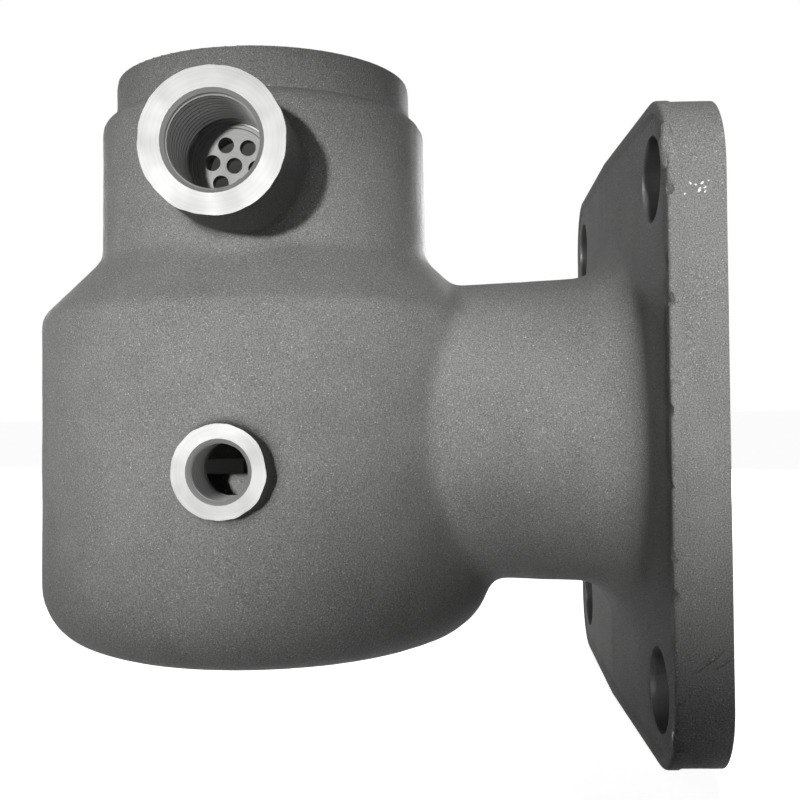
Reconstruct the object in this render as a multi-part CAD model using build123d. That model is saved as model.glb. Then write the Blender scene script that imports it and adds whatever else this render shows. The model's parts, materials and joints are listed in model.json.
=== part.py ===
"""Suction intake valve of a rotary screw compressor.

A cast body carries the air down through a collar, past a spring loaded plate valve and out
sideways through a square flange. The plate, its stem and a control piston slide as one piece.

Millimetres. The origin is the middle of the flange's mating face, +X points out of the outlet,
+Z points up along the valve's axis towards the inlet collar, and the two threaded ports face -Y.
Heights called z_ are measured from the outlet's axis.
"""
import os
from math import atan, cos, degrees, radians, sin, sqrt, tan

from build123d import *

# Outlet flange
flange_size = 135.0
flange_thickness = 12.7
flange_draft = 1.35
flange_edge = 0.8
bolt_edge_distance = 15.5
bolt_hole_d = 17.5
outlet_bore_d = 62.0
outlet_mouth_d = 63.0
outlet_mouth_depth = 50.0
outlet_chamfer = 1.0

# Outlet pipe, a cone that widens towards the flange
pipe_length = 43.7
pipe_d = 74.5
pipe_draft = 2.3
pipe_flange_fillet = 9.0
pipe_body_fillet = 4.0

# Outside of the body
body_draft = 0.8
body_bottom = 50.0
body_bottom_round = 14.5
neck_wall = 7.0
neck_root_drop = 1.7
neck_length = 34.7
cone_angle = 45.0
cone_top_fillet = 5.0
cone_bottom_round = 4.5
shoulder_round = 3.3
collar_wall = 4.5
collar_length = 9.4
collar_edge = 0.6

# Inside of the body
body_wall = 7.5
chamber_gap = 8.3
inlet_step = 2.0
inlet_mouth_step = 0.5
inlet_mouth_depth = 23.4
inlet_lead_in = 1.2
seat_boss_wall = 5.5
tower_wall = 5.0
tower_round = 2.4
tower_top = 8.0
floor_wall = 8.0
core_fillet = 3.0

# Vent port with its perforated disc
vent_above_root = 16.2
vent_boss_d = 30.5
vent_boss_reach = 22.7
vent_thread_minor_d = 18.63
vent_chamfer_d = 20.9
vent_port_depth = 22.0
vent_disc_d = 17.9
vent_disc_thickness = 3.0
vent_disc_rim = 0.8
vent_disc_recess = 0.5
vent_passage_d = 15.0
vent_hole_d = 3.4
vent_hole_pitch = 4.85
vent_ring_holes = 6
vent_pattern_turn = 51.5

# Tapping port into the suction chamber
tap_height = -6.0
tap_boss_d = 20.0
tap_boss_reach = 6.4
tap_thread_minor_d = 11.44
tap_chamfer_d = 13.4
boss_fillet = 2.6

# Seat ring with its guide spider
seat_height = 28.8
seat_bore_d = 55.0
seat_ring_wall = 6.5
seat_nose_width = 1.5
seat_nose_length = 3.2
seat_ring_length = 13.0
spider_arms = 3
spider_arm_width = 5.0
spider_arm_depth = 8.0
spider_arm_root = 12.0
hub_d = 18.0
hub_length = 16.0
hub_gap = 3.4
seat_entry_round = 4.0
bush_wall = 2.0
bush_flange_d = 16.0
bush_flange_thickness = 1.2

# Moving valve
valve_lift = 11.0
plate_lap = 5.0
plate_thickness = 6.0
plate_edge = 1.0
plate_hub_d = 26.0
plate_hub_length = 3.0
plate_rim = 1.3
seal_thickness = 3.5
seal_pocket_depth = 2.7
retainer_gap = 1.7
retainer_lip = 2.4
retainer_cap = 2.5
retainer_round = 0.8
stem_d = 14.0
stem_thread_d = 10.0
stem_guide_d = 8.0
stem_guide_above_hub = 4.0
stem_end_chamfer = 0.8
nut_across_flats = 17.0
nut_height = 6.0
nut_chamfer = 0.5
washer_d = 20.0
washer_thickness = 1.5
thread_past_nut = 1.0

# Control piston in its liner
piston_lead = 3.5
liner_wall = 4.0
liner_flange_thickness = 2.5
piston_height = 10.5
piston_set_back = 0.5
piston_crown = 4.5
piston_skirt = 4.2
piston_edge = 0.5
piston_gap = 0.3
running_gap = 0.05
ring_land = 1.2
ring_side_gap = 0.1
piston_seal_width = 3.0
piston_seal_depth = 3.0
guide_ring_width = 3.2
guide_ring_depth = 2.0
guide_ring_split = 1.2
open_gap = 0.3
bump_space = 1.5
bump_ring_gap = 0.8
bump_ring_width = 2.9
bump_pocket = 1.5

# Bottom cover and its circlip
cover_lap = 2.5
cover_thickness = 6.5
cover_edge = 0.6
cover_land = 3.4
control_boss_d = 19.0
control_boss_length = 5.2
control_thread_minor_d = 8.57
control_chamfer_d = 9.9
nut_pit_d = 24.0
nut_pit_depth = 3.0
clip_thickness = 2.5
clip_groove_depth = 1.5
clip_width = 5.6
clip_gap_angle = 40.0
clip_lug_d = 6.0
clip_lug_hole_d = 2.5

# Return spring
spring_wire = 2.4
spring_side_gap = 3.1
spring_high_d = 31.4
spring_turns = 4.0
spring_pocket = 2.5
spring_slack = 0.4

# Seal rings and fits
o_ring_section = 2.5
liner_o_ring_section = 2.0
stem_o_ring_section = 1.9
seal_fit = 0.02
static_fit = 0.05
seat_gap = 0.2
clip_gap = 0.05

# How far a cutter reaches past the face that it opens
cut_past = 1.0

# Worked out from the values above: radii, from the seat's bore outwards
seat_bore_r = seat_bore_d / 2
seat_ring_r = seat_bore_r + seat_ring_wall
seat_boss_r = seat_ring_r + seat_boss_wall
chamber_r = seat_boss_r + chamber_gap
body_r = chamber_r + body_wall
neck_r = seat_ring_r + neck_wall
inlet_r = seat_ring_r - inlet_step
mouth_r = inlet_r + inlet_mouth_step
collar_r = mouth_r + collar_wall
plate_r = seat_bore_r + plate_lap
seal_r = plate_r - plate_rim
retainer_r = seat_bore_r - retainer_gap
retainer_hub_r = retainer_r - retainer_lip
liner_bore_r = seat_bore_r + piston_lead
liner_r = liner_bore_r + liner_wall
tower_r = liner_r + tower_wall
cover_r = liner_r + cover_lap
skirt_r = liner_bore_r - piston_gap - piston_skirt
spring_low_r = skirt_r - spring_side_gap - spring_wire / 2
bump_ring_r = liner_bore_r - bump_ring_gap
bump_ring_inner_r = bump_ring_r - bump_ring_width
outlet_r = outlet_bore_d / 2
outlet_mouth_r = outlet_mouth_d / 2

# Distances from the origin and from the valve's axis, and heights from the outlet's axis
flange_half = flange_size / 2
bolt_offset = flange_half - bolt_edge_distance
valve_axis_offset = body_r + pipe_length
vent_face = neck_r + vent_boss_reach
vent_disc_front = vent_face - vent_port_depth
tap_face = body_r + tap_boss_reach
z_ring_low = seat_height + seat_nose_length
z_ring_top = z_ring_low + seat_ring_length
z_neck_root = z_ring_top - neck_root_drop
z_shoulder = z_neck_root + neck_length
z_collar_top = z_shoulder + collar_length
z_vent = z_neck_root + vent_above_root

z_bottom = -body_bottom
z_cover_clip_low = z_bottom + cover_land
z_cover_low = z_cover_clip_low + clip_thickness + clip_gap
z_cover_top = z_cover_low + cover_thickness
liner_length = piston_set_back + piston_height + valve_lift + bump_space
z_liner_top = z_cover_top + liner_length
z_piston_top = z_liner_top - piston_set_back
z_piston_low = z_piston_top - piston_height
z_crown_low = z_piston_top - piston_crown
z_floor = z_bottom + floor_wall
z_tower_top = -tower_top

z_seat = seat_height
z_seat_clip_low = z_ring_low - clip_gap - clip_thickness
z_seat_boss_low = z_seat_clip_low - cover_land
z_seal_top = z_seat - seat_gap
z_seal_low = z_seal_top - seal_thickness
z_plate_top = z_seal_low + seal_pocket_depth
z_plate_low = z_plate_top - plate_thickness
z_retainer_top = z_seal_top + retainer_cap
z_plate_nut_low = z_retainer_top + washer_thickness
z_plate_nut_top = z_plate_nut_low + nut_height
z_hub_low = z_plate_nut_top + hub_gap
z_hub_top = z_hub_low + hub_length
z_stem_top = z_hub_top + stem_guide_above_hub
z_piston_nut_top = z_crown_low - washer_thickness
z_piston_nut_low = z_piston_nut_top - nut_height
z_stem_low = z_piston_nut_low - thread_past_nut

z_spring_low = z_cover_top - spring_pocket
z_spring_high = z_crown_low
spring_end_lift = spring_wire / 4
spring_rise = z_spring_high - z_spring_low - 2 * spring_end_lift
spring_taper = (spring_low_r - spring_high_d / 2) / spring_rise

# The seam of a turned surface is kept away from the outlet pipe
seam_at_back = Rot(0, 0, 180)


def on_axis(shape):
    """Move a piece made about Z to the valve's axis."""
    return Pos(-valve_axis_offset, 0, 0) * shape


def turned(points):
    """Turn a closed outline about Z. A point is (radius, height) or (radius, height, rounding)."""
    rounding = [point[2] if len(point) > 2 else 0 for point in points]
    line = FilletPolyline(*[point[:2] for point in points], radius=rounding, close=True)
    return revolve(Plane.XZ * make_face(line), Axis.Z)


def ring(inner_r, outer_r, low, high, edge=0.0):
    """Turned ring, with its four rims chamfered when an edge is given."""
    if edge:
        points = [(inner_r + edge, low), (outer_r - edge, low), (outer_r, low + edge)]
        points += [(outer_r, high - edge), (outer_r - edge, high), (inner_r + edge, high)]
        points += [(inner_r, high - edge), (inner_r, low + edge)]
    else:
        points = [(inner_r, low), (outer_r, low), (outer_r, high), (inner_r, high)]
    return turned(points)


def disc(radius, low, high, edge=0.0):
    """Turned disc, with its two outer rims chamfered when an edge is given."""
    points = [(0, low), (radius - edge, low), (radius, low + edge)]
    points += [(radius, high - edge), (radius - edge, high), (0, high)]
    return turned(points if edge else [(0, low), (radius, low), (radius, high), (0, high)])


def o_ring(outer_r, section, middle):
    """Round seal ring, given by its outer radius and the height of its middle."""
    return Pos(0, 0, middle) * Torus(outer_r - section / 2, section / 2)


def o_ring_groove(outer_r, section, middle):
    """Square groove that an o_ring of the same outer radius lies in."""
    floor_r = outer_r - section - seal_fit
    half = section / 2 + ring_side_gap
    return ring(floor_r, outer_r + section, middle - half, middle + half)


def facing_front(radius, height, near, far):
    """Cylinder along Y, from y = -near back to y = -far, at a height on the valve's axis."""
    middle = Pos(-valve_axis_offset, -(near + far) / 2, height)
    return middle * Rot(90, 0, 0) * Cylinder(radius, near - far)


def front_countersink(mouth_r, hole_r, height, face):
    """Chamfer at the mouth of a port, as a short cone that ends at the port's face."""
    depth = mouth_r - hole_r
    cone = Cone(hole_r, mouth_r, depth)
    return Pos(-valve_axis_offset, -face + depth / 2, height) * Rot(90, 0, 0) * cone


def half_flange():
    """Front half of the flange: its back is drafted, thickest at the parting plane, y = 0."""
    thin = flange_thickness - flange_half * tan(radians(flange_draft))
    plan = [(0, 0), (0, -flange_half), (-thin, -flange_half), (-flange_thickness, 0)]
    plate = extrude(make_face(Polyline(*plan, close=True)), flange_half, both=True)
    corners = plate.edges().filter_by(Axis.X).group_by(Axis.Y)[0]
    plate = fillet(corners, bolt_edge_distance)
    back = plate.faces().sort_by(Axis.X)[0]
    rim = [edge for edge in back.edges() if abs(edge.center().Y) > flange_edge]
    return fillet(rim, flange_edge)


def half_pipe():
    """Front half of the outlet pipe, a cone from the body's middle into the flange."""
    slope = tan(radians(pipe_draft))
    end_x = -flange_thickness / 2
    body_end_r = pipe_d / 2
    start_r = body_end_r - body_r * slope
    end_r = start_r + (valve_axis_offset + end_x) * slope
    outline = Polyline(
        (-valve_axis_offset, 0), (-valve_axis_offset, start_r), (end_x, end_r), (end_x, 0), close=True
    )
    return revolve(Plane.XZ * make_face(outline), Axis.X, 180)


def outlet():
    """Pipe and flange with the large fillet between them, as two mirrored halves."""
    pipe = half_pipe()
    plate = half_flange()
    half = pipe + plate
    seam = [edge for edge in new_edges(pipe, plate, combined=half) if edge.center().Y < -flange_edge]
    half = fillet(seam, pipe_flange_fillet)
    return half + mirror(half, Plane.XZ)


def body_outside():
    """Turned outside of the casting, drafted so that it widens downwards, and the collar."""
    slope = tan(radians(body_draft))
    z_cone_low = z_neck_root - (body_r - neck_r) / tan(radians(cone_angle))
    bottom_r = body_r + (z_cone_low - z_bottom) * slope
    neck_top_r = neck_r - neck_length * slope
    return seam_at_back * turned([
        (0, z_bottom),
        (bottom_r, z_bottom, body_bottom_round),
        (body_r, z_cone_low, cone_bottom_round),
        (neck_r, z_neck_root, cone_top_fillet),
        (neck_top_r, z_shoulder, shoulder_round),
        (collar_r, z_shoulder),
        (collar_r, z_collar_top, collar_edge),
        (0, z_collar_top),
    ])


def body_inside():
    """Turned hollow of the casting: inlet, seat pocket, suction chamber and piston bore."""
    slope = tan(radians(cone_angle))
    root_offset = body_wall / sin(radians(cone_angle))
    roof_line = z_neck_root + neck_r / slope - root_offset
    throat = disc(inlet_r, z_ring_low, z_collar_top)
    mouth = disc(mouth_r, z_collar_top - inlet_mouth_depth, z_collar_top + cut_past)
    lead_in = Pos(0, 0, z_collar_top - inlet_lead_in / 2)
    lead_in *= Cone(mouth_r, mouth_r + inlet_lead_in, inlet_lead_in)
    inlet = throat + mouth + lead_in
    pocket = disc(seat_ring_r, z_seat_boss_low - cut_past, z_ring_top)
    clip_r = seat_ring_r + clip_groove_depth
    groove = disc(clip_r, z_seat_clip_low - clip_gap, z_ring_low)
    chamber = seam_at_back * turned([
        (0, z_tower_top),
        (tower_r, z_tower_top, tower_round),
        (tower_r, z_floor, core_fillet),
        (chamber_r, z_floor, core_fillet),
        (chamber_r, roof_line - chamber_r / slope, core_fillet),
        (seat_boss_r, roof_line - seat_boss_r / slope, core_fillet),
        (seat_boss_r, z_seat_boss_low),
        (0, z_seat_boss_low),
    ])
    piston_bore = disc(liner_r, z_cover_top, z_tower_top + cut_past)
    counterbore = disc(cover_r, z_bottom - cut_past, z_cover_top + liner_flange_thickness)
    cover_groove = disc(cover_r + clip_groove_depth, z_cover_clip_low, z_cover_low)
    return inlet + pocket + groove + chamber + piston_bore + counterbore + cover_groove


def mating_face_hole(radius, length, y=0.0, z=0.0):
    """Hole from the flange's mating face back into the part, along X."""
    hole = Cylinder(radius, length + cut_past)
    return Pos((cut_past - length) / 2, y, z) * Rot(0, 90, 0) * hole


def port_cuts(height, face, thread_minor_d, chamfer_d, depth_to):
    """Plain bore at the thread's minor diameter, with its mouth chamfer, for a port on the front."""
    hole_r = thread_minor_d / 2
    bore = facing_front(hole_r, height, face + cut_past, depth_to)
    return bore + front_countersink(chamfer_d / 2, hole_r, height, face)


def valve_body():
    """The casting, with its machined bores, ports and bolt holes."""
    trunk = on_axis(body_outside())
    side = outlet()
    joined = trunk + side
    joined = fillet(new_edges(trunk, side, combined=joined), pipe_body_fillet)
    for boss_r, height, face in (
        (vent_boss_d / 2, z_vent, vent_face), (tap_boss_d / 2, tap_height, tap_face),
    ):
        boss = facing_front(boss_r, height, face, 0)
        with_boss = joined + boss
        joined = fillet(new_edges(joined, boss, combined=with_boss), boss_fillet)
    joined -= on_axis(body_inside())
    outlet_core = mating_face_hole(outlet_r, valve_axis_offset)
    joined -= outlet_core - on_axis(Cylinder(tower_r, outlet_bore_d + cut_past))
    joined -= mating_face_hole(outlet_mouth_r, outlet_mouth_depth)
    lead_in = Cone(outlet_mouth_r, outlet_mouth_r + outlet_chamfer, outlet_chamfer)
    joined -= Pos(-outlet_chamfer / 2, 0, 0) * Rot(0, 90, 0) * lead_in
    disc_back = vent_disc_front - vent_disc_thickness
    joined -= port_cuts(z_vent, vent_face, vent_thread_minor_d, vent_chamfer_d, vent_disc_front)
    joined -= facing_front(vent_disc_d / 2, z_vent, vent_disc_front + cut_past, disc_back)
    joined -= facing_front(vent_passage_d / 2, z_vent, disc_back + cut_past, 0)
    joined -= port_cuts(tap_height, tap_face, tap_thread_minor_d, tap_chamfer_d, tower_r)
    for y, z in ((-1, -1), (-1, 1), (1, -1), (1, 1)):
        place = (y * bolt_offset, z * bolt_offset)
        joined -= mating_face_hole(bolt_hole_d / 2, 2 * flange_thickness, *place)
    return joined


def vent_diffuser():
    """Perforated disc at the bottom of the vent port: one hole in the middle, six around it."""
    radius = vent_disc_d / 2 - static_fit
    back = vent_disc_front - vent_disc_thickness
    plate = facing_front(radius, z_vent, vent_disc_front, back)
    recess_floor = vent_disc_front - vent_disc_recess
    plate -= facing_front(radius - vent_disc_rim, z_vent, vent_disc_front + cut_past, recess_floor)
    places = [(0, 0)]
    for number in range(vent_ring_holes):
        turn = radians(vent_pattern_turn + 360 * number / vent_ring_holes)
        places.append((vent_hole_pitch * cos(turn), vent_hole_pitch * sin(turn)))
    through = (vent_disc_front + cut_past, back - cut_past)
    hole = facing_front(vent_hole_d / 2, z_vent, *through)
    return plate - [Pos(x, 0, z) * hole for x, z in places]


def seat_ring():
    """Valve seat with its sealing nose, entry radius and the spider that holds the stem bush."""
    outer_r = seat_ring_r - static_fit
    hub_r = hub_d / 2
    body = turned([
        (seat_bore_r, z_seat), (seat_bore_r + seat_nose_width, z_seat),
        (seat_bore_r + seat_nose_width, z_ring_low), (outer_r, z_ring_low),
        (outer_r, z_ring_top), (seat_bore_r, z_ring_top, seat_entry_round),
    ])
    body -= o_ring_groove(seat_ring_r, o_ring_section, (z_ring_low + z_ring_top) / 2)
    arm_end = (seat_bore_r + seat_ring_r) / 2 - o_ring_section / 2
    top = z_ring_top - seat_entry_round / 2
    arm_outline = Polyline(
        (hub_r - bush_wall, z_hub_low), (arm_end, top - spider_arm_depth), (arm_end, top),
        (hub_r - bush_wall, z_hub_low + spider_arm_root), close=True,
    )
    arm = extrude(Plane.XZ * make_face(arm_outline), spider_arm_width / 2, both=True)
    body += disc(hub_r, z_hub_low, z_hub_top, stem_end_chamfer)
    body += [Rot(0, 0, 360 * number / spider_arms) * arm for number in range(spider_arms)]
    hub_bore_r = stem_guide_d / 2 + bush_wall
    return on_axis(body - disc(hub_bore_r, z_hub_low - cut_past, z_hub_top + cut_past))


def stem_bush():
    """Flanged bush in the spider's hub, in which the stem's upper end slides."""
    bore_r = stem_guide_d / 2 + running_gap
    outer_r = stem_guide_d / 2 + bush_wall - static_fit
    return on_axis(turned([
        (bore_r, z_hub_low), (outer_r, z_hub_low), (outer_r, z_hub_top),
        (bush_flange_d / 2, z_hub_top), (bush_flange_d / 2, z_hub_top + bush_flange_thickness),
        (bore_r, z_hub_top + bush_flange_thickness),
    ]))


def circlip(groove_r, low):
    """Internal circlip: a ring with a gap towards +Y, and two lugs with plier holes."""
    outer_r = groove_r - static_fit
    high = low + clip_thickness
    lug_r = clip_lug_d / 2
    lug_ring_r = outer_r - lug_r
    half_gap = radians(clip_gap_angle / 2)
    reach = 2 * outer_r
    wedge = Polyline(
        (0, 0), (reach * sin(half_gap), reach * cos(half_gap)),
        (-reach * sin(half_gap), reach * cos(half_gap)), close=True,
    )
    clip = ring(outer_r - clip_width, outer_r, low, high)
    clip -= Pos(0, 0, low - cut_past) * extrude(make_face(wedge), clip_thickness + 2 * cut_past)
    for side in (-1, 1):
        place = Pos(side * lug_ring_r * sin(half_gap), lug_ring_r * cos(half_gap), (low + high) / 2)
        clip += place * Cylinder(lug_r, clip_thickness)
        clip -= place * Cylinder(clip_lug_hole_d / 2, 2 * clip_thickness)
    return on_axis(clip)


def valve_plate():
    """Valve disc with the pocket for its seal and a coned back around the stem."""
    bore_r = stem_thread_d / 2 + static_fit
    pocket_r = seal_r + static_fit
    z_hub = z_plate_low - plate_hub_length
    rim_low = z_plate_low + plate_edge
    return on_axis(turned([
        (bore_r, z_hub), (plate_hub_d / 2, z_hub, plate_edge), (plate_r, z_plate_low),
        (plate_r, rim_low), (plate_r, z_plate_top), (pocket_r, z_plate_top),
        (pocket_r, z_seal_low), (bore_r, z_seal_low),
    ]))


def plate_seal():
    """Flat rubber ring that closes on the seat's nose."""
    inner_r = retainer_hub_r + static_fit
    return on_axis(ring(inner_r, seal_r, z_seal_low, z_seal_top))


def seal_retainer():
    """Stepped clamp disc that holds the seal's inner edge."""
    bore_r = stem_thread_d / 2 + static_fit
    return on_axis(turned([
        (bore_r, z_seal_low), (retainer_hub_r, z_seal_low), (retainer_hub_r, z_seal_top),
        (retainer_r, z_seal_top), (retainer_r, z_retainer_top, retainer_round),
        (bore_r, z_retainer_top),
    ]))


def washer(low):
    """Flat washer on the stem's thread."""
    return on_axis(ring(stem_thread_d / 2 + static_fit, washer_d / 2, low, low + washer_thickness))


def nut(low):
    """Hexagon nut with its corners turned off at both faces."""
    corner_r = nut_across_flats / sqrt(3)
    hexagon = extrude(RegularPolygon(corner_r, 6), nut_height)
    rounded = disc(corner_r, 0, nut_height, nut_chamfer)
    body = (hexagon & rounded) - disc(stem_thread_d / 2 + static_fit, -cut_past, nut_height + cut_past)
    return on_axis(Pos(0, 0, low) * body)


def valve_stem():
    """Stepped stem: piston thread, shoulder, plate thread and upper guide."""
    thread_r = stem_thread_d / 2
    guide_r = stem_guide_d / 2
    cut = stem_end_chamfer
    z_plate_hub = z_plate_low - plate_hub_length
    z_guide = z_plate_nut_top + thread_past_nut
    return on_axis(turned([
        (0, z_stem_low), (thread_r - cut, z_stem_low), (thread_r, z_stem_low + cut),
        (thread_r, z_piston_top), (stem_d / 2, z_piston_top), (stem_d / 2, z_plate_hub),
        (thread_r, z_plate_hub), (thread_r, z_guide), (guide_r, z_guide),
        (guide_r, z_stem_top - cut), (guide_r - cut, z_stem_top), (0, z_stem_top),
    ]))


def piston_ring_heights():
    """Heights of the seal and of the guide ring in the piston, as (low, high) pairs."""
    seal_high = z_piston_top - ring_land - ring_side_gap
    seal_low = seal_high - piston_seal_width
    guide_high = seal_low - 2 * ring_side_gap - ring_land
    return (seal_low, seal_high), (guide_high - guide_ring_width, guide_high)


def piston():
    """Control piston: a crown with a skirt, two ring grooves and a seal groove at the stem."""
    outer_r = liner_bore_r - piston_gap
    ring_r = liner_bore_r - running_gap
    body = turned([
        (stem_thread_d / 2 + static_fit, z_crown_low),
        (skirt_r, z_crown_low, piston_edge),
        (skirt_r, z_piston_low),
        (outer_r, z_piston_low, piston_edge),
        (outer_r, z_piston_top, piston_edge),
        (stem_thread_d / 2 + static_fit, z_piston_top),
    ])
    for (low, high), depth in zip(piston_ring_heights(), (piston_seal_depth, guide_ring_depth)):
        floor_r = ring_r - depth - seal_fit
        body -= ring(floor_r, outer_r + cut_past, low - ring_side_gap, high + ring_side_gap)
    groove_r = stem_thread_d / 2 + stem_o_ring_section + 2 * seal_fit
    groove_low = z_piston_top - stem_o_ring_section - 2 * seal_fit
    return on_axis(body - disc(groove_r, groove_low, z_piston_top + cut_past))


def piston_seal():
    """Lip seal of the piston, as a plain rubber ring with eased rims."""
    (low, high), _ = piston_ring_heights()
    outer_r = liner_bore_r - running_gap
    return on_axis(ring(outer_r - piston_seal_depth, outer_r, low, high, piston_edge))


def piston_guide_ring():
    """Plastic guide band, split so that it springs into its groove."""
    _, (low, high) = piston_ring_heights()
    outer_r = liner_bore_r - running_gap
    band = ring(outer_r - guide_ring_depth, outer_r, low, high)
    cutter = Box(4 * guide_ring_depth, guide_ring_split, 2 * guide_ring_width)
    split = Pos(outer_r, 0, (low + high) / 2) * cutter
    return on_axis(band - split)


def stem_o_ring():
    """Static seal in the piston's top, under the stem's shoulder."""
    outer_r = stem_thread_d / 2 + seal_fit + stem_o_ring_section
    middle = z_piston_top - seal_fit - stem_o_ring_section / 2
    return on_axis(o_ring(outer_r, stem_o_ring_section, middle))


def cylinder_liner():
    """Steel liner of the piston bore, with a foot that the bottom cover clamps."""
    outer_r = liner_r - static_fit
    foot_r = cover_r - static_fit
    z_foot = z_cover_top + liner_flange_thickness
    body = turned([
        (liner_bore_r, z_cover_top), (foot_r, z_cover_top), (foot_r, z_foot),
        (outer_r, z_foot), (outer_r, z_liner_top), (liner_bore_r, z_liner_top),
    ])
    return on_axis(body - o_ring_groove(liner_r, liner_o_ring_section, liner_o_ring_middle()))


def liner_o_ring_middle():
    """Height of the seal ring near the liner's upper end."""
    return z_liner_top - 2 * liner_o_ring_section


def bottom_cover():
    """Turned cover with its seal groove, spring and bump pockets, and the control air port."""
    outer_r = cover_r - static_fit
    z_boss = z_cover_low - control_boss_length
    bore_r = control_thread_minor_d / 2
    mouth = control_chamfer_d / 2 - bore_r
    body = turned([
        (0, z_boss), (control_boss_d / 2, z_boss, cover_edge), (control_boss_d / 2, z_cover_low),
        (outer_r, z_cover_low, cover_edge), (outer_r, z_cover_top), (0, z_cover_top),
    ])
    body -= o_ring_groove(cover_r, o_ring_section, (z_cover_low + z_cover_top) / 2)
    body -= disc(nut_pit_d / 2, z_cover_top - nut_pit_depth, z_cover_top + cut_past)
    body -= disc(bore_r, z_boss - cut_past, z_cover_top)
    body -= Pos(0, 0, z_boss + mouth / 2) * Cone(bore_r + mouth, bore_r, mouth)
    spring_space = spring_wire / 2 + spring_slack
    narrowing = spring_pocket * spring_taper
    pocket_radii = (spring_low_r - spring_space - narrowing, spring_low_r + spring_space)
    body -= ring(*pocket_radii, z_spring_low, z_cover_top + cut_past)
    bump_low = z_cover_top - bump_pocket
    bump_radii = (bump_ring_inner_r - seal_fit, bump_ring_r + seal_fit)
    return on_axis(body - ring(*bump_radii, bump_low, z_cover_top + cut_past))


def bump_ring():
    """Rubber ring that the piston's skirt lands on when the valve is fully open."""
    high = z_piston_low - valve_lift - open_gap
    return on_axis(ring(bump_ring_inner_r, bump_ring_r, z_cover_top - bump_pocket, high))


def return_spring():
    """Conical spring between the cover's pocket and the piston's crown, ends ground flat."""
    cone = degrees(atan(spring_taper))
    path = Helix(spring_rise / spring_turns, spring_rise, spring_low_r, cone_angle=-cone)
    path = Pos(0, 0, z_spring_low + spring_end_lift) * path
    section = Plane(origin=path @ 0, z_dir=path % 0) * Circle(spring_wire / 2)
    wire = sweep(section, path, is_frenet=True)
    wide = 4 * spring_low_r
    block = Box(wide, wide, spring_wire, align=(Align.CENTER, Align.CENTER, Align.MIN))
    wire -= Pos(0, 0, z_spring_high) * block
    return on_axis(wire - Pos(0, 0, z_spring_low - spring_wire) * block)


def parts():
    """Every node of the valve, by name."""
    ring_middle = (z_ring_low + z_ring_top) / 2
    cover_middle = (z_cover_low + z_cover_top) / 2
    return {
        "valve_body": valve_body(),
        "vent_diffuser": vent_diffuser(),
        "seat_ring": seat_ring(),
        "seat_o_ring": on_axis(o_ring(seat_ring_r - seal_fit, o_ring_section, ring_middle)),
        "seat_circlip": circlip(seat_ring_r + clip_groove_depth, z_seat_clip_low),
        "stem_bush": stem_bush(),
        "valve_plate": valve_plate(),
        "plate_seal": plate_seal(),
        "seal_retainer": seal_retainer(),
        "plate_washer": washer(z_retainer_top),
        "plate_nut": nut(z_plate_nut_low),
        "valve_stem": valve_stem(),
        "piston": piston(),
        "piston_seal": piston_seal(),
        "piston_guide_ring": piston_guide_ring(),
        "stem_o_ring": stem_o_ring(),
        "piston_washer": washer(z_piston_nut_top),
        "piston_nut": nut(z_piston_nut_low),
        "cylinder_liner": cylinder_liner(),
        "liner_o_ring": on_axis(o_ring(liner_r - seal_fit, liner_o_ring_section, liner_o_ring_middle())),
        "return_spring": return_spring(),
        "bump_ring": bump_ring(),
        "bottom_cover": bottom_cover(),
        "cover_o_ring": on_axis(o_ring(cover_r - seal_fit, o_ring_section, cover_middle)),
        "cover_circlip": circlip(cover_r + clip_groove_depth, z_cover_clip_low),
    }


os.makedirs("parts", exist_ok=True)
for name, shape in parts().items():
    export_step(shape, f"parts/{name}.step")
    print(name, round(shape.volume), "mm3")
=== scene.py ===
import json
from math import cos, exp, pi, radians, sin, tan

import bmesh
import bpy
from mathutils import Matrix, Vector, noise

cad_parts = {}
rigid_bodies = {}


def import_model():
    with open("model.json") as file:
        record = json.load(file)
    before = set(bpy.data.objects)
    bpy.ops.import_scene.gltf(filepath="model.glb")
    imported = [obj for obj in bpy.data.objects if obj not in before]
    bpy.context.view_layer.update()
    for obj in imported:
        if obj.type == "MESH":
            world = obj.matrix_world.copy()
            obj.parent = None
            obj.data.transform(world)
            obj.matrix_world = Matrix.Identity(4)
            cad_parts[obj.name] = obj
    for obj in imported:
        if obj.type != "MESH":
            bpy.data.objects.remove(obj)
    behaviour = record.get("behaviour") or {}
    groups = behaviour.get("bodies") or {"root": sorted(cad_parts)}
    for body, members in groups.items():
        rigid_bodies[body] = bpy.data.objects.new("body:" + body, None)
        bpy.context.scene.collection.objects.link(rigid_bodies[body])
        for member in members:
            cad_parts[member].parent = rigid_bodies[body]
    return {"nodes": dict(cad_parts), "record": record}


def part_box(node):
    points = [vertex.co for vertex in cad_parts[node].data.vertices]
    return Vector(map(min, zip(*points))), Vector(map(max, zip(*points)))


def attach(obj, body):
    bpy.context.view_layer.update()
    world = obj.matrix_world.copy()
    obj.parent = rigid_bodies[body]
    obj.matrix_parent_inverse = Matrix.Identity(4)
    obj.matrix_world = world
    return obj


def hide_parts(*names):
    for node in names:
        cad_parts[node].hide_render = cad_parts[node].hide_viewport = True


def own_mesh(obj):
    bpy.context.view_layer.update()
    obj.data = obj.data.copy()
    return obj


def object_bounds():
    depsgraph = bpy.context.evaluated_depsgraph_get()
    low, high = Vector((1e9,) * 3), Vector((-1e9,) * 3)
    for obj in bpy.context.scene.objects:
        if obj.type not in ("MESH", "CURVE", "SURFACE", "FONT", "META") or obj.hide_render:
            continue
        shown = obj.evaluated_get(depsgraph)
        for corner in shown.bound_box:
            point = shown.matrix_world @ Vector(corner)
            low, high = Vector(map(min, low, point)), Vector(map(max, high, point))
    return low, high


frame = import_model()
cadLow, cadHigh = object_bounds()
mm = 0.001
mounts = {mount["name"]: mount for mount in frame["record"]["mounts"]}
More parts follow.
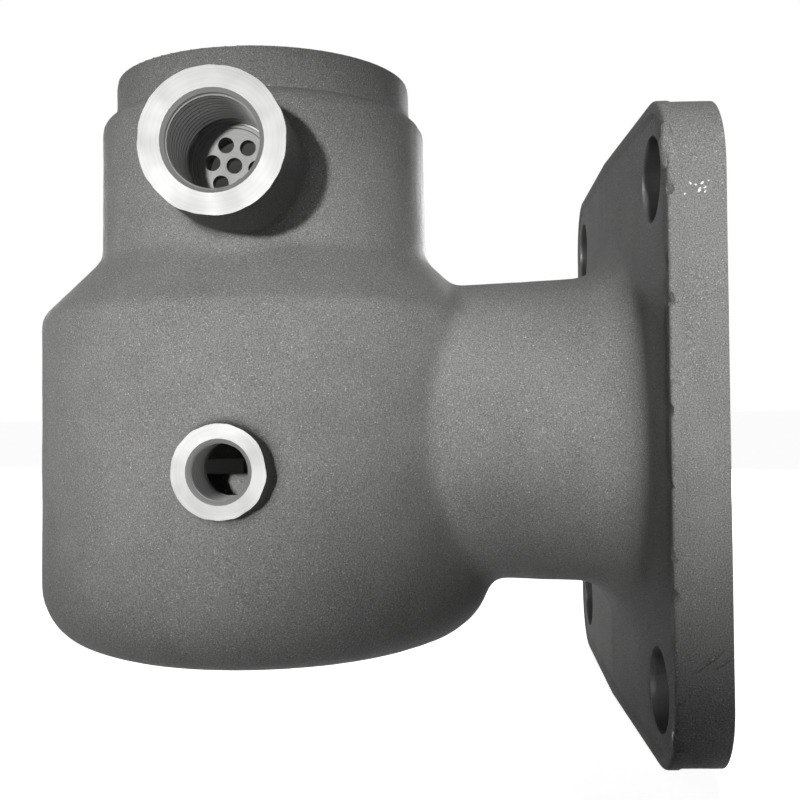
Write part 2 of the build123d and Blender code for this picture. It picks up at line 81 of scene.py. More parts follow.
bodyOf = {
    node: body for body, nodes in frame["record"]["behaviour"]["bodies"].items() for node in nodes
}
slotOf = {part["node"]: part["material_slot"] for part in frame["record"]["subparts"]}
valveAxis = Vector((mounts["inlet_collar"]["pos_m"][0], 0, 0))
ventAxis = valveAxis + Vector((0, 0, mounts["vent_port"]["pos_m"][2]))
tapAxis = valveAxis + Vector((0, 0, mounts["tap_port"]["pos_m"][2]))
print("frame loaded:", len(frame["nodes"]), "nodes")


def newMaterial(name):
    material = bpy.data.materials.new(name)
    material.use_nodes = True
    tree = material.node_tree
    coords = tree.nodes.new("ShaderNodeTexCoord")
    return material, tree, tree.nodes["Principled BSDF"], coords.outputs["Object"]


def link(tree, source, target):
    tree.links.new(source, target)


def noiseField(tree, vector, grainSize, detail=2.0, roughness=0.5):
    node = tree.nodes.new("ShaderNodeTexNoise")
    node.inputs["Scale"].default_value = 1 / grainSize
    node.inputs["Detail"].default_value = detail
    node.inputs["Roughness"].default_value = roughness
    link(tree, vector, node.inputs["Vector"])
    return node.outputs["Fac"]


def remap(tree, value, fromLow, fromHigh, toLow, toHigh):
    node = tree.nodes.new("ShaderNodeMapRange")
    for socket, number in zip(list(node.inputs)[1:5], (fromLow, fromHigh, toLow, toHigh)):
        socket.default_value = number
    link(tree, value, node.inputs["Value"])
    return node.outputs["Result"]


def calc(tree, operation, first, second):
    node = tree.nodes.new("ShaderNodeMath")
    node.operation = operation
    for socket, value in zip(node.inputs, (first, second)):
        if isinstance(value, (int, float)):
            socket.default_value = value
        else:
            link(tree, value, socket)
    return node.outputs["Value"]


def mixColour(tree, factor, first, second):
    node = tree.nodes.new("ShaderNodeMix")
    node.data_type = "RGBA"
    link(tree, factor, node.inputs["Factor"])
    for name, value in (("A", first), ("B", second)):
        socket = next(s for s in node.inputs if s.name == name and s.type == "RGBA")
        if isinstance(value, tuple):
            socket.default_value = (*value, 1)
        else:
            link(tree, value, socket)
    return next(s for s in node.outputs if s.type == "RGBA")


def bump(tree, height, distance, strength=1.0):
    node = tree.nodes.new("ShaderNodeBump")
    node.inputs["Distance"].default_value = distance
    node.inputs["Strength"].default_value = strength
    link(tree, height, node.inputs["Height"])
    return node.outputs["Normal"]


castSkin = {
    "dark": (0.12, 0.119, 0.117),
    "light": (0.30, 0.298, 0.293),
    # near-white colour of the painted glints on the grain
    "paintedGlint": (0.90, 0.90, 0.89),
    "grain": 0.27 * mm,
    "pits": 0.9 * mm,
    "blotches": 12 * mm,
    "grainHeight": 0.08 * mm,
    "roughness": 0.60,
    "shine": 0.04,
}


def makeCastSkin(name, values):
    # shot-blasted casting: fine sandy grain in soft lighter and darker areas, with bright specks in the
    # base colour that are painted glints
    material, tree, shader, place = newMaterial(name)
    grain = noiseField(tree, place, values["grain"], 3, 0.6)
    pits = noiseField(tree, place, values["pits"], 2)
    blotches = noiseField(tree, place, values["blotches"], 3)
    fine = remap(tree, grain, 0.36, 0.64, 0, 0.85)
    broad = remap(tree, blotches, 0.3, 0.7, 0, 0.15)
    colour = mixColour(tree, calc(tree, "ADD", fine, broad), values["dark"], values["light"])
    # painted glints: the grain's highest spots turn near white in the base colour
    glintSpeck = remap(tree, grain, 0.67, 0.74, 0, 1)
    link(tree, mixColour(tree, glintSpeck, colour, values["paintedGlint"]), shader.inputs["Base Color"])
    shader.inputs["Specular IOR Level"].default_value = values["shine"]
    rough = remap(tree, grain, 0.35, 0.75, values["roughness"] + 0.06, values["roughness"] - 0.10)
    link(tree, rough, shader.inputs["Roughness"])
    height = calc(tree, "ADD", grain, calc(tree, "MULTIPLY", pits, 0.9))
    link(tree, bump(tree, height, values["grainHeight"]), shader.inputs["Normal"])
    return material


def makeTurned(name, values, axis="Z", centre=(0, 0, 0)):
    # tool marks run round the given axis, with smudges over them
    material, tree, shader, place = newMaterial(name)
    mapping = tree.nodes.new("ShaderNodeMapping")
    mapping.inputs["Location"].default_value = [-c for c in centre]
    link(tree, place, mapping.inputs["Vector"])
    parts = tree.nodes.new("ShaderNodeSeparateXYZ")
    link(tree, mapping.outputs["Vector"], parts.inputs["Vector"])
    across = [parts.outputs[a] for a in "XYZ" if a != axis]
    squares = [calc(tree, "MULTIPLY", a, a) for a in across]
    radius = calc(tree, "SQRT", calc(tree, "ADD", *squares), 0)
    line = tree.nodes.new("ShaderNodeCombineXYZ")
    link(tree, radius, line.inputs["X"])
    link(tree, parts.outputs[axis], line.inputs["Y"])
    marks = noiseField(tree, line.outputs["Vector"], values["marks"], 2)
    smudge = noiseField(tree, place, values["smudge"], 3)
    tone = remap(tree, calc(tree, "ADD", marks, calc(tree, "MULTIPLY", smudge, 0.5)), 0.5, 1.0, 0, 1)
    dark = tuple(values["dark"] * c for c in values["colour"])
    link(tree, mixColour(tree, tone, dark, values["colour"]), shader.inputs["Base Color"])
    shader.inputs["Metallic"].default_value = values["metallic"]
    rough = remap(tree, smudge, 0.3, 0.7, values["roughness"] - 0.05, values["roughness"] + 0.08)
    link(tree, rough, shader.inputs["Roughness"])
    link(tree, bump(tree, marks, values["markHeight"], 0.5), shader.inputs["Normal"])
    return material


def makeSoft(name, values):
    # rubber or plastic: even colour with a faint mottling and a matte skin
    material, tree, shader, place = newMaterial(name)
    mottle = noiseField(tree, place, values["mottle"], 4, 0.6)
    dust = noiseField(tree, place, values["dustSize"], 2)
    colour = mixColour(tree, remap(tree, mottle, 0.3, 0.7, 0, 1), values["dark"], values["light"])
    dusted = remap(tree, dust, 0.55, 0.8, 0, values["dust"])
    link(tree, mixColour(tree, dusted, colour, values["dustColour"]), shader.inputs["Base Color"])
    link(tree, remap(tree, mottle, 0.3, 0.7, 0.45, 0.7), shader.inputs["Roughness"])
    link(tree, bump(tree, mottle, values["height"]), shader.inputs["Normal"])
    return material


def turnedMetal(colour, roughness, marks, markHeight=0.02 * mm, metallic=0.9, dark=0.8):
    return {
        "colour": colour, "dark": dark, "roughness": roughness, "metallic": metallic,
        "marks": marks, "markHeight": markHeight, "smudge": 7 * mm,
    }


finishes = {
    "machined_aluminium": turnedMetal((0.70, 0.70, 0.69), 0.40, 0.30 * mm),
    "ground_steel": turnedMetal((0.58, 0.58, 0.57), 0.26, 0.10 * mm, 0.006 * mm),
    "zinc_steel": turnedMetal((0.62, 0.63, 0.62), 0.34, 0.60 * mm, 0.006 * mm),
    "spring_steel": turnedMetal((0.13, 0.13, 0.14), 0.42, 0.50 * mm, 0.01 * mm, 0.8, 0.6),
    "bearing_bronze": turnedMetal((0.50, 0.32, 0.15), 0.45, 0.25 * mm, 0.02 * mm),
}
softFinishes = {
    "seal_rubber": {
        "dark": (0.018, 0.018, 0.018), "light": (0.035, 0.035, 0.034), "mottle": 0.8 * mm,
        "dustSize": 5 * mm, "dust": 0.25, "dustColour": (0.12, 0.11, 0.10), "height": 0.02 * mm,
    },
    "guide_plastic": {
        "dark": (0.40, 0.35, 0.27), "light": (0.52, 0.47, 0.38), "mottle": 1.2 * mm,
        "dustSize": 6 * mm, "dust": 0.15, "dustColour": (0.2, 0.19, 0.17), "height": 0.01 * mm,
    },
}
materials = {"cast_body": makeCastSkin("castSkin", castSkin)}
for name, values in finishes.items():
    materials[name] = makeTurned(name, values, "Z", valveAxis)
for name, values in softFinishes.items():
    materials[name] = makeSoft(name, values)
faced = turnedMetal((0.41, 0.41, 0.405), 0.60, 0.22 * mm, 0.03 * mm, 0.50, 0.88)
# threaded port bores: darker colour and less shine than the faces, painted shade in these recesses
threadShade = turnedMetal((0.30, 0.30, 0.295), 0.42, 0.30 * mm, 0.02 * mm, 0.35)
# bolt holes: near-black colour, painted shade inside the holes
holeShade = turnedMetal((0.16, 0.16, 0.16), 0.38, 0.50 * mm, 0.02 * mm, 0.55)
# dull finish of the vent disc; on the inner bore the same dark colour is painted shade
dullDiscAndBoreShade = turnedMetal((0.28, 0.28, 0.275), 0.60, 0.30 * mm, 0.02 * mm, 0.35)
ventMetal = makeTurned("ventFaceMetal", faced, "Y", ventAxis)
tapMetal = makeTurned("tapFaceMetal", faced, "Y", tapAxis)
boredMetal = makeTurned("outletBoreMetal", finishes["machined_aluminium"], "X")
# the thread bores' materials carry painted shade
ventThreadShadedMetal = makeTurned("ventThreadShadedMetal", threadShade, "Y", ventAxis)
tapThreadShadedMetal = makeTurned("tapThreadShadedMetal", threadShade, "Y", tapAxis)
boltHoleShadeMetal = makeTurned("boltHolePaintedShadeMetal", holeShade, "X")
discMetal = makeTurned("ventDiscMetal", dullDiscAndBoreShade, "Y", ventAxis)
# painted shade in the inner bore
innerBoreShadeMetal = makeTurned("innerBorePaintedShadeMetal", dullDiscAndBoreShade, "Z", valveAxis)
nickMetal = makeTurned("nickMetal", turnedMetal((0.80, 0.80, 0.79), 0.40, 0.60 * mm), "X")
print("materials made")

view = {
    "place": (-53.825 * mm, -267.462 * mm, 6.998 * mm),
    "turn": (radians(90.219), radians(0.853), radians(2.477)),
    "lens": 47.08,
}
cameraData = bpy.data.cameras.new("photoCamera")
cameraData.lens = view["lens"]
cameraData.sensor_width = 36
cameraData.clip_start = 0.01
camera = bpy.data.objects.new("photoCamera", cameraData)
camera.location = view["place"]
camera.rotation_euler = view["turn"]
bpy.context.scene.collection.objects.link(camera)
bpy.context.scene.camera = camera

lamps = {
    "key": {
        "azimuth": 8, "elevation": 4, "distance": 0.90, "size": 0.045, "watts": 42,
        "aim": (-122 * mm, -55 * mm, 28 * mm), "cone": 12, "blend": 0.95,
    },
    "outletKey": {
        "azimuth": 3, "elevation": 4, "distance": 0.90, "size": 0.06, "watts": 42,
        "aim": (0, -60 * mm, 38 * mm), "cone": 11, "blend": 0.9,
    },
    "back": {"azimuth": 200, "elevation": 10, "distance": 0.90, "size": 0.30, "watts": 8},
    "backLeft": {
        "azimuth": 150, "elevation": 10, "distance": 0.90, "size": 0.30, "watts": 25,
        "aim": (-130 * mm, 20 * mm, 15 * mm), "cone": 9, "blend": 0.9,
    },
}
middle = (Vector(cadLow) + Vector(cadHigh)) / 2
for name, lamp in lamps.items():
    # azimuth is measured from the front, -Y, towards the left of the photo, -X
    turn, lift = radians(lamp["azimuth"]), radians(lamp["elevation"])
    away = Vector((-sin(turn) * cos(lift), -cos(turn) * cos(lift), sin(lift)))
    data = bpy.data.lights.new(name + "Lamp", "SPOT" if "cone" in lamp else "AREA")
    data.energy = lamp["watts"]
    if "cone" in lamp:
        data.spot_size = radians(lamp["cone"])
        data.spot_blend = lamp["blend"]
        data.shadow_soft_size = lamp["size"] / 2
    else:
        data.shape = "DISK"
        data.size = lamp["size"]
    holder = bpy.data.objects.new(name + "Lamp", data)
    holder.location = Vector(lamp.get("aim", middle)) + lamp["distance"] * away
    holder.rotation_euler = away.to_track_quat("Z", "Y").to_euler()
    bpy.context.scene.collection.objects.link(holder)


def seenDirectly(tree):
    # 1 for rays that show the white surroundings themselves, 0 for rays that would light the object
    rays = tree.nodes.new("ShaderNodeLightPath")
    seen = calc(tree, "MAXIMUM", rays.outputs["Is Camera Ray"], rays.outputs["Is Transmission Ray"])
    return calc(tree, "MAXIMUM", seen, rays.outputs["Is Glossy Ray"])


studio = {
    "fill": 0.02, "white": 1.0, "floorSize": 6, "floorGap": 0.3 * mm,
    "paper": (0.8, 0.8, 0.8), "glow": 0.95,
}
world = bpy.data.worlds.new("studio")
bpy.context.scene.world = world
world.use_nodes = True
background = world.node_tree.nodes["Background"]
background.inputs["Color"].default_value = (1, 1, 1, 1)
level = remap(world.node_tree, seenDirectly(world.node_tree), 0, 1, studio["fill"], studio["white"])
link(world.node_tree, level, background.inputs["Strength"])

floorMesh = bpy.data.meshes.new("studioFloor")
bm = bmesh.new()
bmesh.ops.create_grid(bm, x_segments=1, y_segments=1, size=studio["floorSize"])
bmesh.ops.translate(bm, verts=bm.verts, vec=(0, 0, cadLow.z - studio["floorGap"]))
bm.to_mesh(floorMesh)
bm.free()
floor = bpy.data.objects.new("studioFloor", floorMesh)
bpy.context.scene.collection.objects.link(floor)
floorMaterial, tree, shader, place = newMaterial("floorPaper")
shader.inputs["Base Color"].default_value = (*studio["paper"], 1)
shader.inputs["Roughness"].default_value = 1
shader.inputs["Specular IOR Level"].default_value = 0
shader.inputs["Emission Color"].default_value = (1, 1, 1, 1)
link(tree, calc(tree, "MULTIPLY", seenDirectly(tree), studio["glow"]), shader.inputs["Emission Strength"])
floorMesh.materials.append(floorMaterial)
bpy.context.scene.view_settings.view_transform = "Standard"
print("camera, lamps and floor placed")


def solidCopy(name):
    # the CAD node's mesh with its loose triangles joined up
    bm = bmesh.new()
    bm.from_mesh(frame["nodes"][name].data)
    bmesh.ops.remove_doubles(bm, verts=bm.verts, dist=0.002 * mm)
    return bm


def addRod(bm, radius, start, end, segments=64):
    start, end = Vector(start), Vector(end)
    turn = (end - start).to_track_quat("Z", "Y").to_matrix().to_4x4()
    bmesh.ops.create_cone(
        bm, cap_ends=True, segments=segments, radius1=radius, radius2=radius,
        depth=(end - start).length, matrix=Matrix.Translation((start + end) / 2) @ turn,
    )


def makeObject(name, bm, slotMaterials, sharpAngle=32):
    mesh = bpy.data.meshes.new(name)
    bm.to_mesh(mesh)
    bm.free()
    for material in slotMaterials:
        mesh.materials.append(material)
    mesh.shade_smooth()
    mesh.set_sharp_from_angle(angle=radians(sharpAngle))
    piece = bpy.data.objects.new(name, mesh)
    bpy.context.scene.collection.objects.link(piece)
    return piece


def standFor(piece, node):
    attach(piece, bodyOf[node])
    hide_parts(node)


def settled(piece):
    # the piece's mesh with its modifiers worked in
    bpy.context.view_layer.update()
    shaped = piece.evaluated_get(bpy.context.evaluated_depsgraph_get())
    return bpy.data.meshes.new_from_object(shaped)


def fromAxis(point, centre, axis):
    offset = Vector(point) - Vector(centre)
    offset["XYZ".index(axis)] = 0
    return offset.length


casting = {
    "voxel": 1.25 * mm,
    "stock": 3 * mm,
    "skin": 0.10 * mm,
    "lumps": 0.20 * mm,
    "lumpSize": 11 * mm,
    "grit": 0.10 * mm,
    "gritSize": 3.2 * mm,
    "ragged": 0.30 * mm,
    "raggedSize": 2.6 * mm,
    "raggedHeight": 3 * mm,
    "raggedReach": 2 * mm,
    "trimmed": 1.3 * mm,
    "trimReach": 1.3 * mm,
    "chipSize": 3.5 * mm,
    "parting": 0.25 * mm,
    "partingWidth": 0.7 * mm,
    "flangeCorner": 15.5 * mm,
    "ventFace": 63.7 * mm,
    "ventBoss": 15.25 * mm,
    "tapFace": 61.7 * mm,
    "tapBoss": 10 * mm,
    "bottom": 50 * mm,
    "bottomRing": 43 * mm,
}
plugs = {
    "inlet": 35.5 * mm, "inletLow": 20 * mm, "cover": 40.5 * mm, "coverTop": 34 * mm,
    "liner": 37 * mm, "linerLow": 36 * mm, "outlet": 33.5 * mm, "vent": 12 * mm, "tap": 8.5 * mm,
    "boltExtra": 0.4 * mm, "boltDepth": 11.3 * mm,
}
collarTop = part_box("valve_body")[1].z
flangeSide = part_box("valve_body")[1].y
flangeBack, flangeDraft = -12.7 * mm, tan(radians(1.35))
boltHalf = mounts["flange_bolts"]["dims"]["spacing_x_mm"] / 2 * mm
boltRadius = mounts["flange_bolts"]["dims"]["hole_r_mm"] * mm
near = 0.004 * mm


def machinedPlanes():
    # each machined face: how a point on it is known, and the way its stock grows
    vent, tap, stock = casting["ventFace"], casting["tapFace"], casting["stock"]
    return [
        (lambda p: abs(p.x) < near, Vector((stock, 0, 0))),
        (lambda p: abs(p.z - collarTop) < near, Vector((0, 0, stock))),
        (
            lambda p: abs(p.z + casting["bottom"]) < near
            and fromAxis(p, valveAxis, "Z") < casting["bottomRing"],
            Vector((0, 0, -stock)),
        ),
        (
            lambda p: abs(p.y + vent) < near and fromAxis(p, ventAxis, "Y") < casting["ventBoss"] + near,
            Vector((0, -stock, 0)),
        ),
        (
            lambda p: abs(p.y + tap) < near and fromAxis(p, tapAxis, "Y") < casting["tapBoss"] + near,
            Vector((0, -stock, 0)),
        ),
    ]


def onValveAxis(height):
    return valveAxis + Vector((0, 0, height))


def roughCasting():
    # the outside before machining: mouths filled, faces with stock on them, skin a little uneven
    bm = solidCopy("valve_body")
    for isOn, grow in machinedPlanes():
        for vert in bm.verts:
            if isOn(vert.co):
                vert.co += grow
    stock = casting["stock"]
    addRod(bm, plugs["inlet"], onValveAxis(plugs["inletLow"]), onValveAxis(collarTop + stock))
    addRod(bm, plugs["cover"], onValveAxis(-casting["bottom"] - stock), onValveAxis(-plugs["coverTop"]))
    addRod(bm, plugs["liner"], onValveAxis(-plugs["linerLow"]), valveAxis)
    addRod(bm, plugs["outlet"], valveAxis, (stock, 0, 0))
    addRod(bm, plugs["vent"], ventAxis, ventAxis - Vector((0, casting["ventFace"] + stock, 0)))
    addRod(bm, plugs["tap"], tapAxis, tapAxis - Vector((0, casting["tapFace"] + stock, 0)))
    for y in (-boltHalf, boltHalf):
        for z in (-boltHalf, boltHalf):
            addRod(bm, boltRadius + plugs["boltExtra"], (-plugs["boltDepth"], y, z), (stock, y, z))
    rough = makeObject("roughCasting", bm, [])
    remesh = rough.modifiers.new("remesh", "REMESH")
    remesh.mode = "VOXEL"
    remesh.voxel_size = casting["voxel"]
    bm = bmesh.new()
    bm.from_mesh(settled(rough))
    bpy.data.objects.remove(rough)
    keepLargest(bm)
    for _ in range(2):
        bmesh.ops.smooth_vert(
            bm, verts=bm.verts, factor=0.5, use_axis_x=True, use_axis_y=True, use_axis_z=True
        )
    bm.normal_update()
    for vert in bm.verts:
        vert.co -= skinDepth(vert.co) * vert.normal
    return makeObject("roughCasting", bm, [])


def keepLargest(bm):
    # drops the closed hollows that the remesh leaves inside the outer skin
    unseen = set(bm.verts)
    islands = []
    while unseen:
        front = [unseen.pop()]
        island = list(front)
        while front:
            for edge in front.pop().link_edges:
                for vert in edge.verts:
                    if vert in unseen:
                        unseen.remove(vert)
                        front.append(vert)
                        island.append(vert)
        islands.append(island)
    islands.sort(key=len)
    print("islands in the rough casting:", [len(island) for island in islands])
    for island in islands[:-1]:
        bmesh.ops.delete(bm, geom=island, context="VERTS")


def skinDepth(point):
    # how far below the solid's surface the cast skin lies: lumps, grit, ragged boss rims, the
    # flange's sharp back edge with its chips, and the parting ridge at y = 0
    lump = noise.noise(point / casting["lumpSize"]) * 0.5 + 0.5
    grit = noise.noise(point / casting["gritSize"]) * 0.5 + 0.5
    depth = casting["skin"] + lump * casting["lumps"] + grit * casting["grit"]
    for axisPoint, face, radius in (
        (ventAxis, casting["ventFace"], casting["ventBoss"]),
        (tapAxis, casting["tapFace"], casting["tapBoss"]),
    ):
        fromRim = abs(fromAxis(point, axisPoint, "Y") - radius)
        if -point.y > face - casting["raggedHeight"] and fromRim < casting["raggedReach"]:
            depth += casting["ragged"] * max(0, noise.noise(point / casting["raggedSize"]) + 0.15)
    edge = Vector((point.x - flangeBack - abs(point.y) * flangeDraft, fromFlangeRim(point))).length
    if edge < 2 * casting["trimReach"]:
        # chips show on the front side only
        chipped = point.y < -flangeSide + 3 * mm
        chip = max(0, noise.noise(point / casting["chipSize"]) - 0.12) * 3.2 if chipped else 0
        depth -= casting["trimmed"] * (1 - chip) * min(1, 2 - edge / casting["trimReach"])
    return depth - casting["parting"] * exp(-((point.y / casting["partingWidth"]) ** 2))


def fromFlangeRim(point):
    # distance outwards from the flange's rounded square outline
    straight = flangeSide - casting["flangeCorner"]
    past = Vector((max(0, abs(point.y) - straight), max(0, abs(point.z) - straight)))
    return past.length - casting["flangeCorner"]


# the thread, bolt-hole and inner-bore materials are darker than the faces: painted shade in these
# recesses
bodyMaterials = {
    "skin": materials["cast_body"], "turned": materials["machined_aluminium"], "outlet": boredMetal,
    "ventFace": ventMetal, "tapFace": tapMetal, "ventThread": ventThreadShadedMetal,
    "tapThread": tapThreadShadedMetal, "boltHole": boltHoleShadeMetal, "nick": nickMetal, "innerBore": innerBoreShadeMetal,
}
kindNumber = {name: number for number, name in enumerate(bodyMaterials)}
# where each machined surface of the body begins and ends
machined = {
    "ventPort": 10.8 * mm, "ventPortEnd": 30 * mm, "ventThreadEnd": 41.5 * mm,
    "tapPort": 6.9 * mm, "tapPortEnd": 44 * mm, "tapFace": 12 * mm,
    "outlet": 32.8 * mm, "outletEnd": 50.2 * mm, "boltHoleEnd": 13 * mm,
    "collarRim": 1.1 * mm, "cover": 39.2 * mm, "coverTop": 33 * mm,
    "innerBore": 36 * mm, "throatLow": 47 * mm, "throatHigh": 63 * mm,
}


def surfaceKind(point):
    # which of bodyMaterials a face of the finished casting has, by where its middle lies
    radius = fromAxis(point, valveAxis, "Z")
    fromVent, fromTap = fromAxis(point, ventAxis, "Y"), fromAxis(point, tapAxis, "Y")
    if abs(point.y + casting["ventFace"]) < near:
        return "ventFace"
    # faces in the threaded bores take the darker material, painted shade
    if point.y < -machined["ventPortEnd"] and fromVent < machined["ventPort"]:
        return "ventThread" if point.y < -machined["ventThreadEnd"] else "skin"
    if -casting["tapFace"] + near < point.y < -machined["tapPortEnd"] and fromTap < machined["tapPort"]:
        return "tapThread"
    if abs(point.y + casting["tapFace"]) < near and fromTap < machined["tapFace"]:
        return "tapFace"
    if abs(point.x) < near:
        return "outlet"
    if point.x > -machined["outletEnd"] and fromAxis(point, (0, 0, 0), "X") < machined["outlet"]:
        return "outlet"
    # faces inside the bolt holes take the near-black material, painted shade
    if point.x > -machined["boltHoleEnd"]:
        hole = (0, boltHalf * (1 if point.y > 0 else -1), boltHalf * (1 if point.z > 0 else -1))
        return "boltHole" if fromAxis(point, hole, "X") < boltRadius + near else "skin"
    if point.z > collarTop - machined["collarRim"] or abs(point.z + casting["bottom"]) < near:
        return "turned"
    if point.z < -machined["coverTop"] and radius < machined["cover"]:
        return "turned"
    # the inner bore outside the throat takes the darker material, painted shade
    if radius < machined["innerBore"] and not machined["throatLow"] < point.z < machined["throatHigh"]:
        return "innerBore"
    return "skin"


def threadTap(values, start, inward, kind=0):
    # a tap as wide as the thread's major diameter, from the start inwards, to be cut from a bore
    radius, depth, pitch, length = (values[key] for key in ("major", "depth", "pitch", "length"))
    turns = int(length / pitch) + 2
    steps = 72
    outline = []
    for number in range(turns):
        for along, out in ((0, 0), (0.12, 0), (0.44, 1), (0.56, 1), (0.88, 0)):
            outline.append((radius - depth * (1 - out), (number + along) * pitch))
    outline.append((radius - depth, turns * pitch))
    bm = bmesh.new()
    line = [bm.verts.new((r, y, 0)) for r, y in outline]
    edges = [bm.edges.new(pair) for pair in zip(line, line[1:])]
    bmesh.ops.spin(
        bm, geom=line + edges, cent=(0, 0, 0), axis=(0, 1, 0), dvec=(0, pitch / steps, 0),
        angle=2 * pi, steps=steps, use_merge=False,
    )
    bmesh.ops.remove_doubles(bm, verts=bm.verts, dist=0.01 * mm)
    lead = 1.02 * pitch
    for height, side in ((lead, -1), (lead + length, 1)):
        cut = bmesh.ops.bisect_plane(
            bm, geom=bm.verts[:] + bm.edges[:] + bm.faces[:], plane_co=(0, height, 0),
            plane_no=(0, side, 0), clear_outer=True,
        )
        rim = [g for g in cut["geom_cut"] if isinstance(g, bmesh.types.BMEdge)]
        bmesh.ops.contextual_create(bm, geom=rim)
    bmesh.ops.recalc_face_normals(bm, faces=bm.faces)
    turn = Vector((0, 1, 0)).rotation_difference(Vector(inward)).to_matrix().to_4x4()
    place = Matrix.Translation(start) @ turn @ Matrix.Translation((0, -lead, 0))
    bmesh.ops.transform(bm, matrix=place, verts=bm.verts)
    for face in bm.faces:
        face.material_index = kind
    return makeObject("threadTap", bm, bodyMaterials.values())


def carve(piece, cutter, operation):
    change = piece.modifiers.new("carve", "BOOLEAN")
    change.operation = operation
    change.solver = "MANIFOLD"
    change.object = cutter
    mesh = settled(piece)
    piece.modifiers.clear()
    piece.data = mesh
    bpy.data.objects.remove(cutter)


threads = {
    "vent": {
        "major": 10.478 * mm, "depth": 1.20 * mm, "pitch": 1.814 * mm, "length": 18.6 * mm,
        "leadIn": 0.8 * mm,
    },
    "tap": {
        "major": 6.579 * mm, "depth": 0.90 * mm, "pitch": 1.337 * mm, "length": 11.6 * mm,
        "leadIn": 0.8 * mm,
    },
    "control": {"major": 4.864 * mm, "depth": 0.62 * mm, "pitch": 0.907 * mm, "length": 7.4 * mm},
}

# lumps cut from or left on the flange's front rim: two gouges, bright nicks and the stub of a burr;
# start and end are (x, z), all sizes in mm, and a lump with an inset is added instead of cut
flangeMarks = [
    {"start": (-8.0, -45.0), "end": (-1.6, -40.3), "width": 1.0, "depth": 0.62, "kind": "skin"},
    {"start": (-4.0, -44.2), "end": (0.4, -41.4), "width": 0.9, "depth": 0.58, "kind": "skin"},
    {"start": (-7.1, 48.4), "end": (-6.5, 47.7), "width": 0.42, "depth": 0.58, "kind": "nick"},
    {"start": (-6.1, 47.9), "end": (-5.5, 47.6), "width": 0.40, "depth": 0.58, "kind": "nick"},
    {"start": (-5.4, 46.2), "end": (-4.8, 47.3), "width": 0.50, "depth": 0.60, "kind": "nick"},
    {"start": (-4.9, 47.7), "end": (-4.3, 48.4), "width": 0.45, "depth": 0.58, "kind": "nick"},
    {"start": (-4.5, 47.0), "end": (-3.6, 47.4), "width": 0.40, "depth": 0.58, "kind": "nick"},
    {"start": (-4.2, 46.2), "end": (-3.9, 46.7), "width": 0.35, "depth": 0.56, "kind": "nick"},
    {"start": (-3.5, 48.3), "end": (-3.2, 48.7), "width": 0.35, "depth": 0.56, "kind": "nick"},
    {"start": (-8.1, 46.0), "end": (-7.7, 46.1), "width": 0.38, "depth": 0.56, "kind": "nick"},
    {
        "start": (-10.9, 51.0), "end": (-10.9, 60.4), "width": 2.6, "depth": 1.5, "kind": "skin",
        "inset": 1.9,
    },
]


def makeLump(mark):
    # an uneven ellipsoid that lies along a line on the flange's front rim
    front = -flangeSide + mark.get("inset", 0.1) * mm
    start, end = (Vector((x * mm, front, z * mm)) for x, z in (mark["start"], mark["end"]))
    along = (end - start) / 2
    across = along.cross(Vector((0, 1, 0))).normalized() * mark["width"] / 2 * mm
    shape = Matrix((along, Vector((0, mark["depth"] * mm, 0)), across)).transposed().to_4x4()
    bm = bmesh.new()
    bmesh.ops.create_icosphere(bm, subdivisions=3, radius=1)
    for vert in bm.verts:
        vert.co *= 1 + 0.22 * noise.noise(vert.co * 2.3 + start / mm)
    bmesh.ops.transform(bm, matrix=Matrix.Translation((start + end) / 2) @ shape, verts=bm.verts)
    bmesh.ops.recalc_face_normals(bm, faces=bm.faces)
    for face in bm.faces:
        face.material_index = kindNumber[mark["kind"]]
    return makeObject("flangeMark", bm, bodyMaterials.values())


def finishedBody():
    body = roughCasting()
    for material in bodyMaterials.values():
        body.data.materials.append(material)
    print("rough casting:", len(body.data.polygons), "faces")
    exact = solidCopy("valve_body")
    for face in exact.faces:
        face.material_index = kindNumber[surfaceKind(face.calc_center_median())]
    exact = makeObject("exactBody", exact, bodyMaterials.values())
    carve(body, exact, "INTERSECT")
    print("machined:", len(body.data.polygons), "faces")
    for name, axisPoint in (("vent", ventAxis), ("tap", tapAxis)):
        start = axisPoint - Vector((0, casting[name + "Face"] - threads[name]["leadIn"], 0))
        tap = threadTap(threads[name], start, (0, 1, 0), kindNumber[name + "Thread"])
        carve(body, tap, "DIFFERENCE")
    for mark in flangeMarks:
        carve(body, makeLump(mark), "UNION" if "inset" in mark else "DIFFERENCE")
    bm = bmesh.new()
    bm.from_mesh(body.data)
    print("open edges in the body:", sum(not edge.is_manifold for edge in bm.edges))
    for edge in bm.edges:
        kinds = {face.material_index for face in edge.link_faces}
        edge.smooth = len(kinds) == 1 and edge.calc_face_angle(pi) < radians(32)
    for face in bm.faces:
        face.smooth = True
    bm.to_mesh(body.data)
    bm.free()
    print("threaded:", len(body.data.polygons), "faces")
    return body


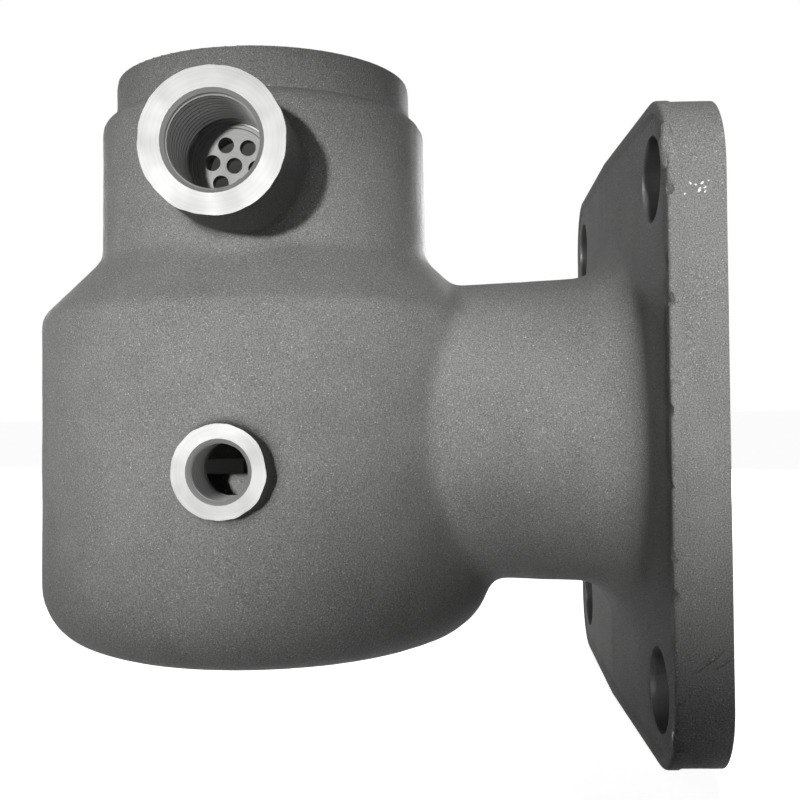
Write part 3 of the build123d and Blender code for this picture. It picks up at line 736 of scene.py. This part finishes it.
body = finishedBody()
body.name = "castBody"
standFor(body, "valve_body")
print("valve body made")

# width of the small round on each piece's sharp edges, in mm
crispPieces = {
    "vent_diffuser": 0.12, "seat_ring": 0.25, "stem_bush": 0.15, "valve_stem": 0.12, "plate_nut": 0.10,
    "plate_washer": 0.12, "seal_retainer": 0.15, "plate_seal": 0.20, "valve_plate": 0.25,
    "bottom_cover": 0.20, "cover_circlip": 0.15, "seat_circlip": 0.15, "cylinder_liner": 0.20,
    "piston": 0.15, "piston_nut": 0.10, "piston_washer": 0.12,
}


def crispPiece(name, width):
    # the CAD shape with its sharp edges broken by a small round
    bm = solidCopy(name)
    bmesh.ops.dissolve_limit(bm, angle_limit=radians(0.5), verts=bm.verts, edges=bm.edges)
    sharp = [e for e in bm.edges if e.is_manifold and e.calc_face_angle() > radians(28)]
    bmesh.ops.bevel(
        bm, geom=sharp, offset=width, offset_type="OFFSET", segments=2, profile=0.5,
        affect="EDGES", material=-1, clamp_overlap=True,
    )
    finish = discMetal if name == "vent_diffuser" else materials[slotOf[name]]
    return makeObject(name + "Crisp", bm, [finish], 40)


for name, width in crispPieces.items():
    piece = crispPiece(name, width * mm)
    if name == "bottom_cover":
        port = mounts["control_port"]
        mouth = Vector(port["pos_m"]) - Vector((0, 0, port["dims"]["length_mm"] / 2 * mm))
        carve(piece, threadTap(threads["control"], mouth, (0, 0, 1)), "DIFFERENCE")
        piece.data.set_sharp_from_angle(angle=radians(20))
    # flat faces stay flat in the shading beside their rounded edges
    piece.modifiers.new("weighted", "WEIGHTED_NORMAL").keep_sharp = True
    standFor(piece, name)
    print(name, "made:", len(piece.data.polygons), "faces")

# the spring is the CAD node's coil, joined up, with a mesh of its own
springFinish = materials[slotOf["return_spring"]]
coil = makeObject("returnSpringCoil", solidCopy("return_spring"), [springFinish], 40)
standFor(coil, "return_spring")
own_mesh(coil)
print("spring made:", len(coil.data.polygons), "faces")

for name, node in frame["nodes"].items():
    for slot in node.material_slots:
        slot.material = materials[slotOf[name]]
